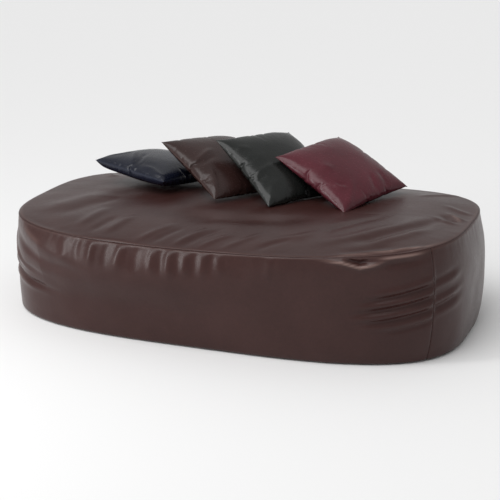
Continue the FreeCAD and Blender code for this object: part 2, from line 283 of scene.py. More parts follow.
PANEL_STEP = 0.0062
SIDE_SPARE_HEIGHT = 0.03  # rows are spaced for a side this much higher than the seam's low point
GATHER_HEIGHT = 0.0016  # fine gathers beside each seam, and the length of one
GATHER_LENGTH = 0.022
GATHER_REACH = 0.030
SIDE_LUMPS = ((0.30, 0.0050), (0.10, 0.0022))  # size and height of the beads' unevenness
HEM_WELT = (0.0012, 0.008, 0.004)  # height, distance and width of the swelling beside the top seam
SEAM_IN = 0.75  # the top seam is drawn in and down in these shares
SEAM_DOWN = 0.66
FLOOR_TURN = (0.011, 0.016)  # the side's lowest part turns under by the first, over the second
CALM_BELOW = 0.05  # folds are weak within this of the floor
PALE_CREST_FROM = 0.006  # folds higher than this are painted paler at the crest: painted highlight, with some wear
PALE_CREST_GAIN = 8


def on_panel(path, first_turn, last_turn):
    """Points in space as distance along a side panel and height, for the nearest way round."""
    turns = np.linspace(first_turn - 0.3, last_turn + 0.3, 1001)
    line = side_place(turns, np.full_like(turns, 0.5))
    run = np.concatenate([[0], np.cumsum(np.linalg.norm(np.diff(line, axis=0), axis=1))])
    run -= np.interp(first_turn, turns, run)
    at = [math.atan2(y, x) for x, y, z in path]
    at = [turn + 2 * math.pi * (turn < first_turn - 0.3) for turn in at]
    return [(np.interp(turn, turns, run), z, 0) for turn, (x, y, z) in zip(at, path)]


def side_grid(name, first_turn, last_turn):
    """A length of side from one upright seam to the other, with its distances to its edges."""
    fine = np.linspace(first_turn, last_turn, 4001)
    line = side_place(fine, np.full_like(fine, 0.5))
    run = np.concatenate([[0], np.cumsum(np.linalg.norm(np.diff(line, axis=0), axis=1))])
    along = spaced(run[-1], PANEL_STEP)
    turns = np.interp(along, run, fine)
    height = seam_height(0) + SIDE_SPARE_HEIGHT
    down = spaced(height, PANEL_STEP)
    drops = down / height
    bm = bmesh.new()
    bmesh.ops.create_grid(bm, x_segments=len(along) - 1, y_segments=len(down) - 1, size=1)
    piece = new_piece(name, bm)
    grid = places_of(piece.data)
    column = np.rint((grid[:, 0] + 1) / 2 * (len(along) - 1)).astype(int)
    row = np.rint((1 - grid[:, 1]) / 2 * (len(down) - 1)).astype(int)
    turn, drop = turns[column], drops[row]
    set_places(piece.data, side_place(turn, drop))
    edges = {
        "top": down[row],
        "base": height - down[row],
        "end": np.minimum(along[column], run[-1] - along[column]),
    }
    return piece, turn, along[column], edges


# points from end to end, width and height, of each ridge and (below 0) valley
FRONT_FOLDS = [
    # puckers under the seam at the front left
    ([(-0.420, -0.55, 0.410), (-0.42, -0.57, 0.27)], 0.017, 0.0058),
    ([(-0.285, -0.55, 0.410), (-0.300, -0.57, 0.265)], 0.020, 0.0066),
    ([(-0.162, -0.55, 0.405), (-0.156, -0.57, 0.275)], 0.014, 0.0043),
    ([(-0.093, -0.55, 0.405), (-0.087, -0.57, 0.265)], 0.015, 0.0059),
    ([(-0.03, -0.55, 0.400), (-0.026, -0.57, 0.285)], 0.013, 0.0045),
    ([(0.041, -0.55, 0.400), (0.036, -0.57, 0.275)], 0.015, 0.0053),
    ([(0.101, -0.55, 0.400), (0.104, -0.57, 0.300)], 0.014, 0.0036),
    ([(0.294, -0.55, 0.405), (0.290, -0.57, 0.300)], 0.015, 0.0039),
    ([(-0.56, -0.53, 0.390), (-0.53, -0.55, 0.290)], 0.021, 0.0039),
    # valleys between them
    ([(-0.355, -0.55, 0.400), (-0.345, -0.57, 0.27)], 0.020, -0.0032),
    ([(-0.225, -0.55, 0.400), (-0.220, -0.57, 0.27)], 0.020, -0.0032),
    ([(-0.127, -0.55, 0.400), (-0.120, -0.57, 0.28)], 0.012, -0.0026),
    ([(-0.06, -0.55, 0.400), (-0.056, -0.57, 0.28)], 0.012, -0.0026),
    ([(0.006, -0.55, 0.400), (0.004, -0.57, 0.28)], 0.012, -0.0024),
    ([(0.072, -0.55, 0.400), (0.070, -0.57, 0.29)], 0.012, -0.0021),
    ([(0.19, -0.55, 0.400), (0.19, -0.57, 0.30)], 0.026, -0.0016),
    ([(-0.49, -0.54, 0.400), (-0.475, -0.56, 0.27)], 0.018, -0.0028),
    # drag folds sweeping down from the left corner of the seam
    ([(-0.80, -0.37, 0.385), (-0.70, -0.46, 0.345), (-0.55, -0.53, 0.305),
      (-0.42, -0.56, 0.295)], 0.022, 0.0075),
    ([(-0.86, -0.30, 0.360), (-0.75, -0.43, 0.300), (-0.60, -0.51, 0.262),
      (-0.40, -0.56, 0.250)], 0.022, -0.0085),
    ([(-0.905, -0.17, 0.370), (-0.88, -0.28, 0.300), (-0.82, -0.38, 0.240),
      (-0.70, -0.48, 0.200)], 0.014, 0.0085),
    ([(-0.895, -0.22, 0.350), (-0.85, -0.34, 0.270), (-0.76, -0.44, 0.222),
      (-0.62, -0.52, 0.200)], 0.010, -0.0050),
    ([(-0.915, -0.10, 0.330), (-0.905, -0.20, 0.270), (-0.87, -0.31, 0.215),
      (-0.80, -0.41, 0.182)], 0.012, 0.0065),
    ([(-0.920, -0.10, 0.225), (-0.87, -0.32, 0.180), (-0.76, -0.46, 0.158),
      (-0.60, -0.54, 0.146)], 0.011, -0.0125),
    ([(-0.920, -0.08, 0.190), (-0.88, -0.32, 0.155), (-0.76, -0.47, 0.136),
      (-0.62, -0.54, 0.126)], 0.012, 0.0050),
    # pocket pinched into the seam at the front right
    ([(0.48, -0.53, 0.400), (0.55, -0.515, 0.392), (0.605, -0.497, 0.376), (0.645, -0.475, 0.386),
      (0.72, -0.45, 0.410)], 0.0085, 0.0120),
    ([(0.550, -0.51, 0.412), (0.605, -0.498, 0.394), (0.645, -0.48, 0.404)], 0.0085, -0.0150),
    ([(0.66, -0.485, 0.405), (0.74, -0.45, 0.412), (0.83, -0.385, 0.418)], 0.008, 0.0060),
    ([(0.68, -0.475, 0.385), (0.76, -0.44, 0.392), (0.83, -0.38, 0.396)], 0.010, -0.0055),
    # slack waves beside the upright seam
    ([(0.62, -0.51, 0.268), (0.73, -0.47, 0.286), (0.890, -0.290, 0.334)], 0.012, 0.0055),
    ([(0.60, -0.52, 0.240), (0.72, -0.48, 0.262), (0.890, -0.290, 0.310)], 0.011, -0.0085),
    ([(0.58, -0.52, 0.220), (0.70, -0.48, 0.240), (0.890, -0.290, 0.288)], 0.010, 0.0070),
    ([(0.56, -0.52, 0.196), (0.70, -0.48, 0.216), (0.890, -0.290, 0.266)], 0.010, -0.0088),
    ([(0.55, -0.53, 0.176), (0.70, -0.485, 0.194), (0.890, -0.290, 0.244)], 0.010, 0.0070),
    ([(0.58, -0.52, 0.158), (0.72, -0.47, 0.176), (0.890, -0.290, 0.222)], 0.009, -0.0075),
    ([(0.62, -0.51, 0.142), (0.74, -0.46, 0.158), (0.890, -0.290, 0.200)], 0.010, 0.0050),
    ([(0.64, -0.49, 0.126), (0.75, -0.46, 0.138), (0.890, -0.290, 0.178)], 0.010, -0.0052),
]
# fold edges painted pale: painted highlights along the crests
FRONT_PAINTED_HIGHLIGHTS = [
    ([(0.46, -0.53, 0.398), (0.55, -0.515, 0.393), (0.605, -0.497, 0.377), (0.645, -0.475, 0.387),
      (0.70, -0.455, 0.405)], 0.004, 0.85),
    ([(0.66, -0.485, 0.406), (0.74, -0.45, 0.413), (0.85, -0.375, 0.420)], 0.004, 0.80),
    ([(-0.78, -0.39, 0.382), (-0.70, -0.46, 0.350), (-0.62, -0.50, 0.328)], 0.008, 0.16),
    ([(-0.90, -0.20, 0.352), (-0.86, -0.31, 0.280), (-0.80, -0.40, 0.228)], 0.007, 0.22),
    ([(-0.905, -0.15, 0.200), (-0.87, -0.32, 0.162), (-0.78, -0.45, 0.142)], 0.006, 0.16),
]
REAR_FOLDS = [
    ([(0.800, -0.430, 0.296), (0.885, -0.29, 0.322), (0.91, -0.20, 0.336)], 0.012, -0.0050),
    ([(0.800, -0.430, 0.274), (0.89, -0.28, 0.300), (0.915, -0.18, 0.314)], 0.012, 0.0045),
    ([(0.800, -0.430, 0.246), (0.90, -0.25, 0.272), (0.92, -0.17, 0.284)], 0.014, -0.0030),
    ([(0.800, -0.430, 0.216), (0.89, -0.28, 0.246), (0.915, -0.18, 0.262)], 0.011, 0.0050),
    ([(0.800, -0.430, 0.192), (0.89, -0.28, 0.222), (0.915, -0.18, 0.238)], 0.011, -0.0070),
    ([(0.800, -0.430, 0.166), (0.89, -0.28, 0.194), (0.915, -0.18, 0.208)], 0.012, 0.0040),
    ([(0.90, 0.26, 0.35), (0.86, 0.36, 0.29), (0.76, 0.46, 0.24)], 0.022, 0.0070),
    ([(0.90, 0.24, 0.29), (0.87, 0.34, 0.24), (0.80, 0.42, 0.19)], 0.018, -0.0080),
    ([(0.91, 0.24, 0.37), (0.85, 0.38, 0.30), (0.72, 0.49, 0.27)], 0.018, -0.0060),
    ([(0.55, 0.53, 0.37), (0.48, 0.565, 0.30), (0.36, 0.575, 0.26)], 0.022, 0.0070),
    ([(0.46, 0.54, 0.37), (0.38, 0.565, 0.32), (0.28, 0.575, 0.29)], 0.016, -0.0050),
    ([(-0.62, 0.52, 0.385), (-0.50, 0.555, 0.31), (-0.34, 0.575, 0.28)], 0.022, 0.0070),
    ([(-0.72, 0.46, 0.36), (-0.58, 0.54, 0.27), (-0.42, 0.575, 0.235)], 0.018, -0.0070),
    ([(-0.88, 0.30, 0.36), (-0.80, 0.43, 0.28), (-0.66, 0.51, 0.22)], 0.020, 0.0080),
    ([(-0.93, 0.16, 0.33), (-0.88, 0.33, 0.25), (-0.76, 0.46, 0.19)], 0.018, -0.0080),
    ([(0.20, 0.55, 0.385), (0.205, 0.57, 0.31)], 0.014, 0.0062),
    ([(0.14, 0.55, 0.385), (0.140, 0.57, 0.32)], 0.014, -0.0044),
    ([(0.08, 0.55, 0.385), (0.075, 0.57, 0.30)], 0.013, 0.0070),
    ([(0.01, 0.55, 0.385), (0.015, 0.57, 0.32)], 0.014, -0.0044),
    ([(-0.05, 0.55, 0.385), (-0.052, 0.57, 0.31)], 0.012, 0.0060),
    ([(-0.17, 0.55, 0.385), (-0.165, 0.57, 0.30)], 0.015, 0.0070),
    ([(-0.30, 0.55, 0.385), (-0.290, 0.57, 0.31)], 0.014, 0.0056),
]
ZIP_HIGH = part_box("zip_tape_upper")[1]
ZIP_HEIGHT = 0.130
ZIP_SWELL = 0.020  # the side stands out past the seam by up to this behind the zip
ZIP_FLAT_HALF = 0.02  # the side is kept plain this far above and below the zip
ZIP_EASE = 0.10  # and goes back to its folds over this
SLOT_HALF_LENGTH = 0.180
SLOT_HALF_WIDTH = 0.008
SLOT_MARGIN = 0.02
FLOOR_GAP = 0.0008


def seam_pull(turn):
    """Direction that the seam between top and side is drawn in along."""
    return np.stack([-np.cos(turn) * SEAM_IN, -np.sin(turn) * SEAM_IN, np.full_like(turn, -SEAM_DOWN)], -1)


def behind_zip(places):
    """How far each point is held to the plain surface by the zip, and where that surface lies."""
    gap_x = np.clip(np.abs(places[:, 0]) - ZIP_HIGH.x, 0, None)
    gap_z = np.clip(np.abs(places[:, 2] - ZIP_HEIGHT) - ZIP_FLAT_HALF, 0, None)
    stiff = np.clip(1 - np.hypot(gap_x, gap_z) / ZIP_EASE, 0, 1)
    stiff = eased(np.where(places[:, 1] > 0, stiff, 0))
    swell = ZIP_SWELL * np.sin(math.pi * places[:, 2] / TOP_LOW.z)
    reach = 1 - (np.abs(places[:, 0]) / (HALF_LENGTH + swell)) ** OUTLINE_POWER
    return stiff, (HALF_WIDTH + swell) * np.clip(reach, 0, 1) ** (1 / OUTLINE_POWER)


def make_side(name, first_turn, last_turn, folds, painted_highlights, seed):
    piece, turn, along, edges = side_grid(name, first_turn, last_turn)
    mesh = piece.data
    places, facing = places_of(mesh), normals_of(mesh)
    raised = np.zeros(len(places))
    flat = np.stack([along, places[:, 2], 0 * along], -1)
    for path, width, height in folds:
        raised += fold(flat, on_panel(path, first_turn, last_turn), width, height)
    # gathers run down from the top seam, and across from the upright ones
    sewn = np.exp(-edges["top"] / GATHER_REACH)
    raised += GATHER_HEIGHT * ripple(flat * (1, 0.15, 0), GATHER_LENGTH, seed) * sewn
    upright = np.exp(-edges["end"] / GATHER_REACH)
    raised += GATHER_HEIGHT * ripple(flat * (0.15, 1, 0), GATHER_LENGTH, seed) * upright
    raised += HEM_WELT[0] * np.exp(-(((edges["top"] - HEM_WELT[1]) / HEM_WELT[2]) ** 2))
    for extra, (size, height) in enumerate(SIDE_LUMPS):
        raised += height * ripple(places, size, seed + extra)
    stiff, rear = behind_zip(places)
    raised *= 1 - stiff
    places[:, 1] += stiff * (rear - places[:, 1])
    keep_low = np.clip(edges["base"] / CALM_BELOW, 0, 1)
    raised *= 0.2 + 0.8 * keep_low
    # nothing stands up at a seam itself
    raised *= 1 - np.exp(-((edges["top"] / 0.010) ** 2))
    raised *= 1 - np.exp(-((edges["end"] / 0.008) ** 2))
    places += facing * raised[:, None]
    places += seam_pull(turn) * (TURN_IN * roll_share(edges["top"]))[:, None]
    places -= facing * (TURN_IN * 0.8 * roll_share(edges["end"], 0.006))[:, None]
    under = np.stack([-np.cos(turn) * 0.8, -np.sin(turn) * 0.8, np.full_like(turn, 0.6)], -1)
    places += under * (FLOOR_TURN[0] * roll_share(edges["base"], FLOOR_TURN[1]))[:, None]
    places[:, 2] = np.maximum(places[:, 2], FLOOR_GAP)
    set_places(mesh, places)
    # painted highlight along the lip under the seam and on high fold crests, with some wear, and painted
    # highlights on the listed fold edges
    near_seam = np.exp(-(((edges["top"] - 0.006) / 0.003) ** 2))
    sheen_and_wear = 0.08 * near_seam + np.clip(raised - PALE_CREST_FROM, 0, 1) * PALE_CREST_GAIN
    for path, width, amount in painted_highlights:
        sheen_and_wear += fold(flat, on_panel(path, first_turn, last_turn), width, amount)
    mark_ridges(piece, sheen_and_wear)
    return piece


def faces_near_slot(bm, margin=0.0):
    """Faces of the rear of the side that lie in the slot, or within a margin of it."""
    near = []
    for face in bm.faces:
        middle = face.calc_center_median()
        level = abs(middle.z - ZIP_HEIGHT) < SLOT_HALF_WIDTH + margin
        if middle.y > 0 and level and abs(middle.x) < SLOT_HALF_LENGTH + margin:
            near.append(face)
    return near


def cut_slot(piece):
    """Opens the slot that the zip closes."""
    bm = bmesh.new()
    bm.from_mesh(piece.data)
    ends = [((way * SLOT_HALF_LENGTH, 0, 0), (1, 0, 0)) for way in (1, -1)]
    sides = [((0, 0, ZIP_HEIGHT + way * SLOT_HALF_WIDTH), (0, 0, 1)) for way in (1, -1)]
    for place, facing in ends + sides:
        near = faces_near_slot(bm, SLOT_MARGIN)
        around = {e for f in near for e in f.edges} | {v for f in near for v in f.verts}
        bmesh.ops.bisect_plane(bm, geom=near + list(around), plane_co=place, plane_no=facing)
    inside = faces_near_slot(bm)
    bmesh.ops.delete(bm, geom=inside, context="FACES")
    bm.to_mesh(piece.data)
    bm.free()


SECOND_SEAM = UPRIGHT_SEAM - math.pi
front_side = make_side("side_panel_front_vinyl", SECOND_SEAM, UPRIGHT_SEAM, FRONT_FOLDS, FRONT_PAINTED_HIGHLIGHTS, 3.0)
finish_panel(front_side, bag_vinyl)
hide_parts("side_panel_front")

THIRD_TURN = UPRIGHT_SEAM + math.pi  # the same place as the second seam, one turn on
rear_side = make_side("side_panel_rear_vinyl", UPRIGHT_SEAM, THIRD_TURN, REAR_FOLDS, [], 8.0)
cut_slot(rear_side)
finish_panel(rear_side, bag_vinyl)
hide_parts("side_panel_rear")

# ---------------------------------------------------------------- top of the bag
# One panel of vinyl, sewn to the side all round. It lies slack over the beads, so that it creases
# towards the seam and sinks under the cushions.

NAVY_FULLER = 0.012  # the lowest cushion lies this much fuller underneath
TOP_CELLS = (236, 150)
TOP_LUMPS = ((0.34, 0.0060), (0.12, 0.0022))
MIDDLE_SPAN = 0.86  # the middle of the grid is plain squares over this share of the top
SINK_CELL = 0.008  # the hollows under the cushions are worked out on squares of this size
SINK_SLOPE = 0.07
SINK_CLEAR = 0.003
SINK_EASE = 0.012
LYING_BELOW = 0.53  # only what is lower than this can lie on the bag
FAR_ABOVE = 10.0
TOP_FOLDS = [
    # lip standing over the seam at the front right, with the pinched pocket
    ([(0.48, -0.52, 0.40), (0.56, -0.492, 0.415), (0.62, -0.470, 0.42), (0.70, -0.430, 0.43),
      (0.82, -0.330, 0.44)], 0.010, 0.0085),
    ([(0.58, -0.497, 0.41), (0.66, -0.468, 0.42), (0.74, -0.425, 0.43),
      (0.82, -0.355, 0.44)], 0.008, -0.0060),
    ([(0.52, -0.49, 0.42), (0.62, -0.43, 0.43), (0.72, -0.36, 0.44)], 0.020, -0.0040),
    # long soft waves across the right half
    ([(0.36, -0.46, 0.42), (0.52, -0.36, 0.43), (0.66, -0.18, 0.44), (0.76, 0.05, 0.44)], 0.040, 0.0080),
    ([(0.45, -0.45, 0.42), (0.60, -0.33, 0.43), (0.72, -0.15, 0.44), (0.82, 0.06, 0.44)], 0.026, -0.0075),
    ([(0.58, -0.42, 0.42), (0.70, -0.28, 0.43), (0.80, -0.12, 0.44)], 0.024, 0.0055),
    ([(0.28, -0.40, 0.43), (0.42, -0.28, 0.44), (0.55, -0.08, 0.45), (0.62, 0.14, 0.45)], 0.030, -0.0065),
    ([(0.20, -0.48, 0.42), (0.34, -0.37, 0.43), (0.46, -0.22, 0.44)], 0.026, 0.0055),
    # short creases fanning from the right end of the seam
    ([(0.865, -0.06, 0.44), (0.80, -0.03, 0.44), (0.74, 0.02, 0.44)], 0.010, 0.0050),
    ([(0.885, 0.00, 0.44), (0.83, 0.04, 0.44), (0.78, 0.10, 0.44)], 0.011, 0.0060),
    ([(0.875, -0.03, 0.44), (0.815, 0.0, 0.44), (0.76, 0.06, 0.44)], 0.010, -0.0050),
    ([(0.885, 0.10, 0.44), (0.82, 0.14, 0.44), (0.74, 0.20, 0.44)], 0.014, 0.0045),
    # creases running in from the front seam
    ([(-0.10, -0.545, 0.39), (-0.05, -0.44, 0.42), (0.0, -0.34, 0.43)], 0.014, 0.0050),
    ([(-0.06, -0.545, 0.39), (-0.01, -0.44, 0.42), (0.05, -0.34, 0.43)], 0.014, -0.0042),
    ([(0.0, -0.545, 0.39), (0.06, -0.45, 0.42), (0.12, -0.38, 0.43)], 0.013, 0.0046),
    ([(0.09, -0.54, 0.40), (0.15, -0.45, 0.42), (0.21, -0.36, 0.43)], 0.015, 0.0040),
    ([(0.21, -0.53, 0.41), (0.27, -0.45, 0.42), (0.35, -0.37, 0.43)], 0.016, -0.0040),
    ([(-0.19, -0.54, 0.39), (-0.15, -0.45, 0.42), (-0.10, -0.36, 0.43)], 0.015, -0.0040),
    ([(-0.25, -0.54, 0.39), (-0.20, -0.43, 0.42), (-0.14, -0.33, 0.43)], 0.017, 0.0048),
    ([(-0.39, -0.50, 0.40), (-0.37, -0.40, 0.42), (-0.34, -0.28, 0.43)], 0.022, 0.0055),
    ([(-0.45, -0.50, 0.40), (-0.43, -0.40, 0.42), (-0.41, -0.30, 0.43)], 0.020, -0.0055),
    ([(-0.52, -0.46, 0.40), (-0.51, -0.34, 0.42), (-0.49, -0.20, 0.43)], 0.026, 0.0060),
    # broad hollows and rises at the left
    ([(-0.76, -0.34, 0.41), (-0.68, -0.16, 0.42), (-0.60, 0.02, 0.43)], 0.050, 0.0070),
    ([(-0.66, -0.36, 0.41), (-0.60, -0.20, 0.42), (-0.52, -0.04, 0.43)], 0.034, -0.0065),
    ([(-0.30, -0.16, 0.43), (-0.05, -0.24, 0.44), (0.20, -0.20, 0.44),
      (0.42, -0.10, 0.45)], 0.060, -0.0090),
    # behind the cushions
    ([(0.60, 0.30, 0.45), (0.70, 0.38, 0.44), (0.78, 0.42, 0.43)], 0.020, 0.0050),
    ([(-0.70, 0.26, 0.43), (-0.76, 0.34, 0.42), (-0.80, 0.38, 0.41)], 0.020, 0.0050),
]
# fold edges painted pale: painted highlights along the crests
TOP_PAINTED_HIGHLIGHTS = [
    ([(0.50, -0.520, 0), (0.56, -0.496, 0), (0.62, -0.474, 0), (0.70, -0.434, 0),
      (0.82, -0.334, 0), (0.86, -0.27, 0)], 0.004, 0.75),
    ([(0.862, -0.02, 0), (0.835, 0.03, 0), (0.80, 0.08, 0)], 0.006, 0.45),
]
CUSHIONS = ("navy", "brown", "black", "burgundy")


def top_grid(name):
    """The top as a grid whose outer rings follow the seam."""
    bm = bmesh.new()
    bmesh.ops.create_grid(bm, x_segments=TOP_CELLS[0], y_segments=TOP_CELLS[1], size=1)
    piece = new_piece(name, bm)
    grid = places_of(piece.data)[:, :2]
    # the last rings close up on the seam, to round over it
    close = RING_GAPS
    rings = []
    for axis, count in enumerate(TOP_CELLS):
        inner = np.linspace(1 - close[-1] / HALF_WIDTH, 0, count // 2 - len(close) + 2)
        from_edge = np.concatenate([1 - close[:-1] / HALF_WIDTH, inner])
        rings.append(np.rint((1 - np.abs(grid[:, axis])) * count / 2).astype(int))
        grid[:, axis] = np.sign(grid[:, axis]) * from_edge[rings[axis]]
    ring = np.minimum(*rings)
    reach = np.abs(grid).max(1)
    square = grid / np.maximum(reach, 1e-9)[:, None]
    # each point's turn round the outline
    turn = np.arctan2(square[:, 1] * HALF_WIDTH, square[:, 0] * HALF_LENGTH)
    ringed = top_place(reach, turn)
    plain = np.stack([grid[:, 0] * HALF_LENGTH * MIDDLE_SPAN, grid[:, 1] * HALF_WIDTH * MIDDLE_SPAN], -1)
    share = (reach**1.5)[:, None]
    flat = ringed[:, :2] * share + plain * (1 - share)
    turn = np.arctan2(flat[:, 1], flat[:, 0])
    reach = np.hypot(flat[:, 0], flat[:, 1]) / outline_reach(turn, HALF_LENGTH, HALF_WIDTH)
    edge_gap = (1 - reach) * HALF_WIDTH
    edge_gap = np.where(ring < len(close), close[np.minimum(ring, len(close) - 1)], edge_gap)
    reach = np.where(ring < len(close), 1 - edge_gap / HALF_WIDTH, reach)
    set_places(piece.data, top_place(reach, turn))
    return piece, turn, edge_gap


def sink_under(places, pieces):
    """How far the vinyl is pressed down by what lies on it, with sloping sides to each hollow."""
    under = np.concatenate([places_of(other.data) for other in pieces])
    # the lowest cushion lies fullest
    under[: len(pieces[0].data.vertices), 2] -= NAVY_FULLER
    under = under[under[:, 2] < LYING_BELOW]
    low = places[:, :2].min(0) - SINK_CELL
    size = np.ceil((places[:, :2].max(0) + SINK_CELL - low) / SINK_CELL).astype(int) + 1
    reach = np.full(size, FAR_ABOVE)
    spot = np.clip(np.rint((under[:, :2] - low) / SINK_CELL).astype(int), 0, size - 1)
    np.minimum.at(reach, (spot[:, 0], spot[:, 1]), under[:, 2])
    for shift in (1, 2, 4, 8, 16, 32):
        # each pass spreads the limit outwards, rising by the slope
        for axis in (0, 1):
            for way in (-shift, shift):
                moved = np.roll(reach, way, axis) + SINK_SLOPE * SINK_CELL * shift
                edge = [slice(None), slice(None)]
                edge[axis] = slice(0, shift) if way > 0 else slice(-shift, None)
                moved[tuple(edge)] = FAR_ABOVE
                reach = np.minimum(reach, moved)
    for _ in range(3):
        near = sum(np.roll(reach, way, axis) for axis in (0, 1) for way in (-1, 1))
        reach = np.minimum(reach, 0.5 * reach + 0.125 * near)
    spot = (places[:, :2] - low) / SINK_CELL
    base_spot = np.clip(np.floor(spot).astype(int), 0, size - 2)
    part = spot - base_spot
    value = 0
    for i in (0, 1):
        for j in (0, 1):
            weight = np.abs(1 - i - part[:, 0]) * np.abs(1 - j - part[:, 1])
            value = value + weight * reach[base_spot[:, 0] + i, base_spot[:, 1] + j]
    over = places[:, 2] - (value - SINK_CLEAR)
    gentle = np.where(over > -SINK_EASE, (over + SINK_EASE) ** 2 / (4 * SINK_EASE), 0)
    return -np.where(over > SINK_EASE, over, gentle)


RIM_TURNS = np.linspace(-math.pi, math.pi, 2001)
RIM = top_place(np.ones_like(RIM_TURNS), RIM_TURNS)
RIM_RUN = np.concatenate([[0], np.cumsum(np.linalg.norm(np.diff(RIM, axis=0), axis=1))])


def make_top():
    piece, turn, edge_gap = top_grid("top_panel_vinyl")
    mesh = piece.data
    places, facing = places_of(mesh), normals_of(mesh)
    raised = np.zeros(len(places))
    for path, width, height in TOP_FOLDS:
        raised += fold(places * (1, 1, 0), np.array(path) * (1, 1, 0), width, height)
    around = np.interp(turn, RIM_TURNS, RIM_RUN)
    sewn = np.exp(-edge_gap / 0.035)
    raised += 0.0010 * ripple(np.stack([around, edge_gap * 0.25, 0 * around], -1), 0.045, 4) * sewn
    raised += 0.0014 * np.exp(-(((edge_gap - 0.008) / 0.004) ** 2))
    for extra, (size, height) in enumerate(TOP_LUMPS):
        raised += height * ripple(places, size, 5 + extra)
    raised *= 1 - np.exp(-((edge_gap / 0.010) ** 2))
    places += facing * raised[:, None]
    places += seam_pull(turn) * (TURN_IN * roll_share(edge_gap))[:, None]
    places[:, 2] += sink_under(places, [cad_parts[c + "_cushion_back"] for c in CUSHIONS])
    set_places(mesh, places)
    # painted highlight along the lip beside the seam and on high crests, with some wear, and painted
    # highlights on the listed fold edges
    near_seam = np.exp(-(((edge_gap - 0.006) / 0.003) ** 2))
    sheen_and_wear = 0.10 * near_seam + np.clip(raised - 0.008, 0, 1) * 6
    for path, width, amount in TOP_PAINTED_HIGHLIGHTS:
        sheen_and_wear += fold(places * (1, 1, 0), np.array(path) * (1, 1, 0), width, amount)
    mark_ridges(piece, sheen_and_wear)
    return piece


top = make_top()
finish_panel(top, bag_vinyl)
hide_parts("top_panel")

# ---------------------------------------------------------------- base of the bag
# The same vinyl, cut to the base's outline and sewn to the side at the floor.

BASE_INSET = 0.009
BASE_LIFT = 0.0004
BASE_RIM_LIFT = 0.006  # the rim rises to the side by this
BASE_RIM = 0.015  # over this share of the way in

bm = bmesh.new()
bmesh.ops.create_grid(bm, x_segments=72, y_segments=48, size=1)
base = new_piece("base_panel_vinyl", bm)
grid = places_of(base.data)[:, :2]
reach = np.abs(grid).max(1)
square = grid / np.maximum(reach, 1e-9)[:, None]
turn = np.arctan2(square[:, 1] * HALF_WIDTH, square[:, 0] * HALF_LENGTH)
edge = outline_reach(turn, HALF_LENGTH * BASE_LONGER, HALF_WIDTH * BASE_NARROWER)
out = reach * (edge - BASE_INSET)
lift = BASE_LIFT + BASE_RIM_LIFT * np.clip((reach - 1 + BASE_RIM) / BASE_RIM, 0, 1) ** 2
set_places(base.data, np.stack([out * np.cos(turn), out * np.sin(turn), lift], -1))
bm = bmesh.new()
bm.from_mesh(base.data)
bmesh.ops.reverse_faces(bm, faces=bm.faces)
bm.to_mesh(base.data)
bm.free()
mark_ridges(base, np.zeros(len(base.data.vertices)))
finish_panel(base, bag_vinyl)
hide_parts("base_panel")

# ---------------------------------------------------------------- liner
# A plain nonwoven bag that holds the beads. It shows only through the zip.

LINER_INSET = 0.040
LINER_BASE_INSET = 0.02  # more than that again at the floor
LINER_FLOOR = 0.010
LINER_ROOM = 0.035  # between the liner's top and the seam

bm = bmesh.new()
bmesh.ops.create_uvsphere(bm, u_segments=96, v_segments=32, radius=1)
liner = new_piece("liner_cloth_bag", bm)
ball = places_of(liner.data)
turn = np.arctan2(ball[:, 1], ball[:, 0])
ring = np.hypot(ball[:, 0], ball[:, 1])
width = ring**0.12
share = 0.5 + 0.5 * np.sign(ball[:, 2]) * np.clip(1 - ring**6, 0, 1) ** (1 / 3)
shell = side_place(turn, np.clip(1 - share, 0, 1))
inset = LINER_INSET + LINER_BASE_INSET * (1 - share) ** 8
out = (np.hypot(shell[:, 0], shell[:, 1]) - inset) * width
height = LINER_FLOOR + (SEAM_HEIGHT - LINER_ROOM) * share
set_places(liner.data, np.stack([out * np.cos(turn), out * np.sin(turn), height], -1))
liner_cloth, tree, surface = shader_parts("liner_cloth")
place = add_node(tree, "ShaderNodeTexCoord").outputs["Object"]
fibres = add_node(tree, "ShaderNodeTexNoise", {"Vector": place, "Scale": 400.0, "Detail": 4.0})
tint = add_node(tree, "ShaderNodeMapRange", {"Value": fibres.outputs["Fac"], "To Min": 0.62, "To Max": 0.82})
tree.links.new(tint.outputs["Result"], surface.inputs["Base Color"])
fuzz = add_node(tree, "ShaderNodeBump",
                {"Height": fibres.outputs["Fac"], "Strength": 0.4, "Distance": 0.0006})
tree.links.new(fuzz.outputs["Normal"], surface.inputs["Normal"])
surface.inputs["Roughness"].default_value = 0.9
liner.data.materials.append(liner_cloth)
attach(liner, "bag")
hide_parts("liner_top", "liner_side", "liner_base", "bead_filling")

# ---------------------------------------------------------------- scatter cushions
# Two squares of vinyl joined face to face and turned, with a fibre pad inside. Each is inflated
# as cloth from its flat cut, so that the corners stay sharp and the edges draw in and crease.

CUSHION_CELLS = 64
CUSHION_HALF_THICKNESS = 0.052
EDGE_PULL = 0.07  # a filled case draws its edges in by this share between the corners
FLAT_CUT = 1.05  # side of the flat cut, in sides of the filled case
CASE_ROUNDING = 0.55
WAIST_BAND = 0.03
FULLEST = 99.5  # the thickness is measured at this percentile, past stray points
FLOP_REACH = 0.45  # the far corner flops down over this share, by this much, and slides out
FLOP_DROP = 0.015
FLOP_SLIDE = 0.006
FARTHEST = 0.016  # the case stays within this of the plain shape
SIM_SCALE = 5.0  # the cloth solver is steadier on a large case
SIM_FRAMES = 16
SIM_HELD = 0.1
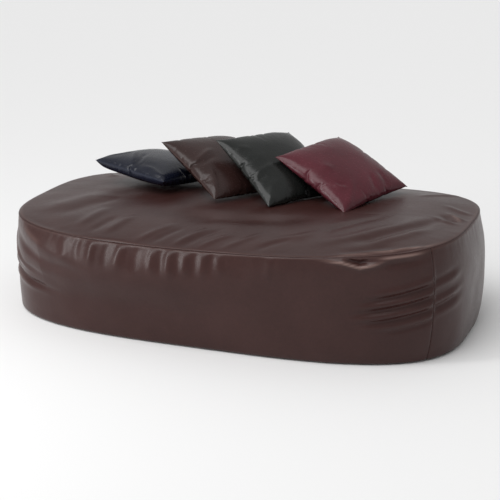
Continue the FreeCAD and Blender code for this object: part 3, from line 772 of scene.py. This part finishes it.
# ridges and creases on the upper face: points along the low and the left edge from -1 to 1,
# width and height in metres
CASE_FOLDS = {
    "navy": [
        ([(0.0, -0.92), (-0.20, -0.62), (-0.55, -0.10)], 0.011, 0.0060),
        ([(0.10, -0.90), (-0.02, -0.60), (-0.20, -0.22)], 0.010, -0.0060),
        ([(-0.90, -0.85), (-0.60, -0.45), (-0.50, -0.12)], 0.012, 0.0045),
        ([(0.12, -0.80), (0.50, -0.78), (0.92, -0.90)], 0.011, 0.0050),
    ],
    "brown": [
        ([(-0.05, -0.90), (-0.14, -0.55), (-0.27, -0.18)], 0.010, 0.0060),
        ([(0.08, -0.88), (0.02, -0.55), (-0.06, -0.25)], 0.011, -0.0050),
        ([(0.16, -0.60), (0.55, -0.72), (0.95, -0.93)], 0.012, 0.0065),
        ([(0.30, -0.84), (0.60, -0.88)], 0.009, -0.0040),
    ],
    "black": [
        ([(0.20, -0.88), (0.16, -0.60), (0.10, -0.30)], 0.011, 0.0055),
        ([(0.34, -0.84), (0.34, -0.60)], 0.010, -0.0045),
        ([(0.40, -0.50), (0.66, -0.70), (0.95, -0.93)], 0.012, 0.0060),
        ([(-0.60, -0.80), (-0.40, -0.50)], 0.012, 0.0035),
    ],
    "burgundy": [
        ([(0.33, -0.19), (0.60, -0.45), (0.92, -0.88)], 0.013, 0.0055),
        ([(0.30, -0.62), (0.40, -0.56), (0.48, -0.44)], 0.008, -0.0050),
        ([(0.30, -0.70), (0.44, -0.62), (0.56, -0.50)], 0.008, 0.0045),
        ([(0.90, 0.05), (0.60, 0.16), (0.38, 0.24)], 0.012, -0.0050),
        ([(0.92, 0.40), (0.62, 0.46), (0.36, 0.50)], 0.012, -0.0045),
        ([(-0.20, -0.55), (0.05, -0.35)], 0.016, 0.0035),
    ],
}


def cushion_frame(name):
    """Turn, middle and side of a cushion, from its case in the frame.

    The first axis lies along the edges that slope down to the right, the second to the rear.
    """
    front = places_of(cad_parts[name + "_cushion_front"].data)
    back = places_of(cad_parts[name + "_cushion_back"].data)
    middle = (front.mean(0) + back.mean(0)) / 2
    out = front.mean(0) - back.mean(0)
    out /= np.linalg.norm(out)
    flat = front - middle
    flat -= np.outer(flat @ out, out)
    reach = np.linalg.norm(flat, axis=1)
    corner = flat[reach.argmax()] / reach.max()
    sideways = np.cross(out, corner)
    ways = [(corner * i + sideways * j) / math.sqrt(2) for i in (1, -1) for j in (1, -1)]
    along = max(ways, key=lambda way: way @ (0.9, -0.42, -0.3))
    return np.array([along, np.cross(out, along), out]), middle, reach.max() * math.sqrt(2)


def inflate(piece, flat, seed):
    """Blows a case up from its flat cut, as cloth, and keeps the result."""
    mesh = piece.data
    set_places(mesh, places_of(mesh) * SIM_SCALE)
    piece.shape_key_add(name="start")
    key = piece.shape_key_add(name="flat")
    key.data.foreach_set("co", (flat * SIM_SCALE).astype(np.float32).ravel())
    held = piece.vertex_groups.new(name="held")
    held.add(list(range(len(mesh.vertices))), SIM_HELD, "REPLACE")
    cloth = piece.modifiers.new("cloth", "CLOTH")
    settings = cloth.settings
    settings.vertex_group_mass = "held"
    settings.pin_stiffness = 2.0
    settings.quality = 5
    settings.mass = 0.02
    settings.tension_stiffness = settings.compression_stiffness = 40
    settings.shear_stiffness = 20
    settings.bending_stiffness = 0.2
    settings.use_pressure = True
    settings.uniform_pressure_force = 8 + seed % 3
    settings.effector_weights.gravity = 0
    settings.rest_shape_key = mesh.shape_keys.key_blocks["flat"]
    cloth.point_cache.frame_start = 1
    cloth.point_cache.frame_end = SIM_FRAMES
    for step in range(1, SIM_FRAMES + 1):
        scene.frame_set(step)
    blown = places_of(piece.evaluated_get(bpy.context.evaluated_depsgraph_get()).data)
    piece.modifiers.remove(cloth)
    piece.shape_key_clear()
    piece.vertex_groups.clear()
    scene.frame_set(1)
    return blown / SIM_SCALE


def settle_case(blown, u, v, half):
    """Lets a blown-up case down to the fullness of a fibre pad, with its creases kept."""
    settled = blown.copy()
    for axis, other in ((0, v), (1, u)):
        tip = np.abs(blown[:, axis]).max()
        waist = np.abs(blown[np.abs(other) < WAIST_BAND, axis]).max()
        wanted = (1 - EDGE_PULL * (1 - other**2)) * half
        settled[:, axis] *= wanted / (waist + (tip - waist) * other**2)
    settled[:, 2] *= CUSHION_HALF_THICKNESS / np.percentile(np.abs(blown[:, 2]), FULLEST)
    return settled


def make_cushion(name, colours, seed):
    turn, middle, side = cushion_frame(name)
    bm = bmesh.new()
    bmesh.ops.create_grid(bm, x_segments=CUSHION_CELLS, y_segments=CUSHION_CELLS, size=1)
    copy = bmesh.ops.duplicate(bm, geom=bm.verts[:] + bm.edges[:] + bm.faces[:])["geom"]
    bmesh.ops.reverse_faces(bm, faces=[g for g in copy if isinstance(g, bmesh.types.BMFace)])
    for corner in [g for g in copy if isinstance(g, bmesh.types.BMVert)]:
        if max(abs(corner.co.x), abs(corner.co.y)) < 0.9999:
            corner.co.z = -0.1
    bmesh.ops.remove_doubles(bm, verts=bm.verts, dist=1e-4)
    piece = new_piece(name + "_cushion_case", bm)
    grid = places_of(piece.data)
    u, v = grid[:, 0], grid[:, 1]
    upper = np.where(grid[:, 2] < -0.05, -1.0, 1.0)
    half = side / 2
    crown = np.clip((1 - u**2) * (1 - v**2), 0, 1) ** CASE_ROUNDING
    pulled = [half * u * (1 - EDGE_PULL * (1 - v**2)), half * v * (1 - EDGE_PULL * (1 - u**2))]
    start = np.stack([*pulled, upper * CUSHION_HALF_THICKNESS * crown], -1)
    rough = start.copy()
    rough[:, 2] += 0.004 * crown * ripple(grid, 0.2, seed)
    flat = np.stack([half * FLAT_CUT * u, half * FLAT_CUT * v, upper * 0.0004 * (crown > 0)], -1)
    set_places(piece.data, rough)
    places = settle_case(inflate(piece, flat, seed), u, v, half)
    on_plane = np.stack([u * half, v * half, 0 * u], -1)
    for path, width, height in CASE_FOLDS[name]:
        path = [(a * half, b * half, 0) for a, b in path]
        crease = np.where(upper > 0, fold(on_plane, path, width, height), 0)
        places[:, 2] += crease * np.clip(crown * 4, 0, 1)
    if name == "navy":
        places[:, 2] -= NAVY_FULLER * np.clip(crown * 3, 0, 1) * (upper < 0)
    else:
        # the far corner flops back over the pad
        loose = np.exp(-(((u + 1) / FLOP_REACH) ** 2) - ((v - 1) / FLOP_REACH) ** 2)
        places[:, 2] -= FLOP_DROP * loose
        places[:, :2] += FLOP_SLIDE * loose[:, None] * (1, -1)
    moved = places - start
    far = np.linalg.norm(moved, axis=1)
    places = start + moved * np.minimum(1, FARTHEST / np.maximum(far, 1e-9))[:, None]
    set_places(piece.data, places @ turn + middle)
    rim = 1 - np.maximum(np.abs(u), np.abs(v))
    # painted highlight along the sewn rim of the case
    mark_ridges(piece, 0.25 * np.exp(-((rim / 0.02) ** 2)))
    sharp = piece.data.attributes.new("crease_edge", "FLOAT", "EDGE")
    ends = np.empty(len(piece.data.edges) * 2, np.int32)
    piece.data.edges.foreach_get("vertices", ends)
    sewn = (rim[ends.reshape(-1, 2)] < 1e-4).all(1)
    sharp.data.foreach_set("value", np.where(sewn, 0.9, 0).astype(np.float32))
    smooth = piece.modifiers.new("smooth", "SUBSURF")
    smooth.levels = smooth.render_levels = 1
    piece.data.materials.append(vinyl(name + "_vinyl", *colours, roughness=0.25, gloss_level=0.30))
    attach(piece, name + "_cushion")
    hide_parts(*[f"{name}_cushion_{part}" for part in ("front", "back", "pad")])


# dark, light and pale shade of each case; the pale one is painted along the sewn rim as a painted highlight
CUSHION_COLOURS = {
    "navy": ((0.0040, 0.0052, 0.0125), (0.0066, 0.0084, 0.0185), (0.05, 0.06, 0.10)),
    "brown": ((0.026, 0.0120, 0.0105), (0.036, 0.0170, 0.0155), (0.12, 0.07, 0.06)),
    "black": ((0.0080, 0.0090, 0.0084), (0.0135, 0.0150, 0.0140), (0.07, 0.075, 0.07)),
    "burgundy": ((0.064, 0.0092, 0.0150), (0.088, 0.0145, 0.0230), (0.19, 0.07, 0.085)),
}
for number, name in enumerate(CUSHIONS):
    make_cushion(name, CUSHION_COLOURS[name], seed=3 + 4 * number)

# ---------------------------------------------------------------- zip
# A moulded zip on woven tape, sewn behind a slot in the rear of the side. Its parts keep the
# frame's own shapes and take a finish each.


def plain_finish(name, colour, roughness, metallic=0.0, scale=300.0, strength=0.15):
    material, tree, surface = shader_parts(name)
    place = add_node(tree, "ShaderNodeTexCoord").outputs["Object"]
    uneven = add_node(tree, "ShaderNodeTexNoise", {"Vector": place, "Scale": scale, "Detail": 3.0})
    dark = add_node(tree, "ShaderNodeMix", {"Factor": uneven.outputs["Fac"]}, data_type="RGBA")
    dark.inputs["A"].default_value = (*[c * 0.8 for c in colour], 1)
    dark.inputs["B"].default_value = (*[min(1, c * 1.2) for c in colour], 1)
    tree.links.new(dark.outputs["Result"], surface.inputs["Base Color"])
    bump = add_node(tree, "ShaderNodeBump",
                    {"Height": uneven.outputs["Fac"], "Strength": strength, "Distance": 0.0004})
    tree.links.new(bump.outputs["Normal"], surface.inputs["Normal"])
    surface.inputs["Roughness"].default_value = roughness
    surface.inputs["Metallic"].default_value = metallic
    return material


zip_finishes = {
    "zip_tape": (plain_finish("zip_tape", (0.03, 0.018, 0.016), 0.85, scale=900.0, strength=0.6),
                 ["zip_tape_upper", "zip_tape_lower"]),
    "zip_teeth": (plain_finish("zip_teeth", (0.035, 0.02, 0.018), 0.4),
                  ["zip_teeth_upper", "zip_teeth_lower"]),
    "zip_metal": (plain_finish("zip_metal", (0.42, 0.38, 0.33), 0.32, metallic=1.0),
                  ["zip_stop_closed", "zip_stop_open", "zip_slider", "zip_pull"]),
}
for slot, (material, members) in zip_finishes.items():
    for member in members:
        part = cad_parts[member]
        part.data.materials.clear()
        part.data.materials.append(material)

# ---------------------------------------------------------------- studio
# A pale floor, a soft key light and one tall strip light at the front left, and a long lens from
# the front right.

bm = bmesh.new()
bmesh.ops.create_grid(bm, x_segments=1, y_segments=1, size=40)
floor = new_piece("studio_floor", bm, smooth=False)
floor_finish, tree, surface = shader_parts("studio_floor")
surface.inputs["Base Color"].default_value = (0.86, 0.86, 0.86, 1)
surface.inputs["Roughness"].default_value = 0.8
floor.data.materials.append(floor_finish)

world = bpy.data.worlds.new("studio")
scene.world = world
world.use_nodes = True
world.node_tree.nodes["Background"].inputs["Color"].default_value = (1, 1, 1, 1)
world.node_tree.nodes["Background"].inputs["Strength"].default_value = 0.55


def softbox(name, place, aim, width, length, power):
    lamp = bpy.data.lights.new(name, "AREA")
    lamp.shape = "RECTANGLE"
    lamp.size = width
    lamp.size_y = length
    lamp.energy = power
    box = bpy.data.objects.new(name, lamp)
    scene.collection.objects.link(box)
    box.location = place
    box.rotation_euler = (Vector(aim) - Vector(place)).to_track_quat("-Z", "Y").to_euler()


softbox("front_left", (-2.6, -2.6, 1.7), (-0.3, -0.5, 0.3), 0.40, 2.8, 52)
key = bpy.data.lights.new("key", "SUN")
key.energy = 1.50
key.angle = math.radians(45)
key_box = bpy.data.objects.new("key", key)
scene.collection.objects.link(key_box)
key_box.rotation_euler = Vector((-0.40, -0.60, 1.25)).to_track_quat("Z", "Y").to_euler()

camera = bpy.data.objects.new("camera", bpy.data.cameras.new("camera"))
scene.collection.objects.link(camera)
scene.camera = camera
VIEW_TURN = math.radians(20.5)
VIEW_RISE = math.radians(17.2)
VIEW_DISTANCE = 5.678
VIEW_AIM = Vector((0, 0, 0.2))
level = Vector((math.sin(VIEW_TURN), -math.cos(VIEW_TURN), 0)) * math.cos(VIEW_RISE)
back = level + Vector((0, 0, math.sin(VIEW_RISE)))
camera.location = VIEW_AIM + back * VIEW_DISTANCE
camera.rotation_euler = back.to_track_quat("Z", "Y").to_euler()
camera.data.lens = 102.0
camera.data.shift_x = 0.006
camera.data.shift_y = 0.0172
camera.data.clip_end = 100
scene.view_settings.view_transform = "Standard"
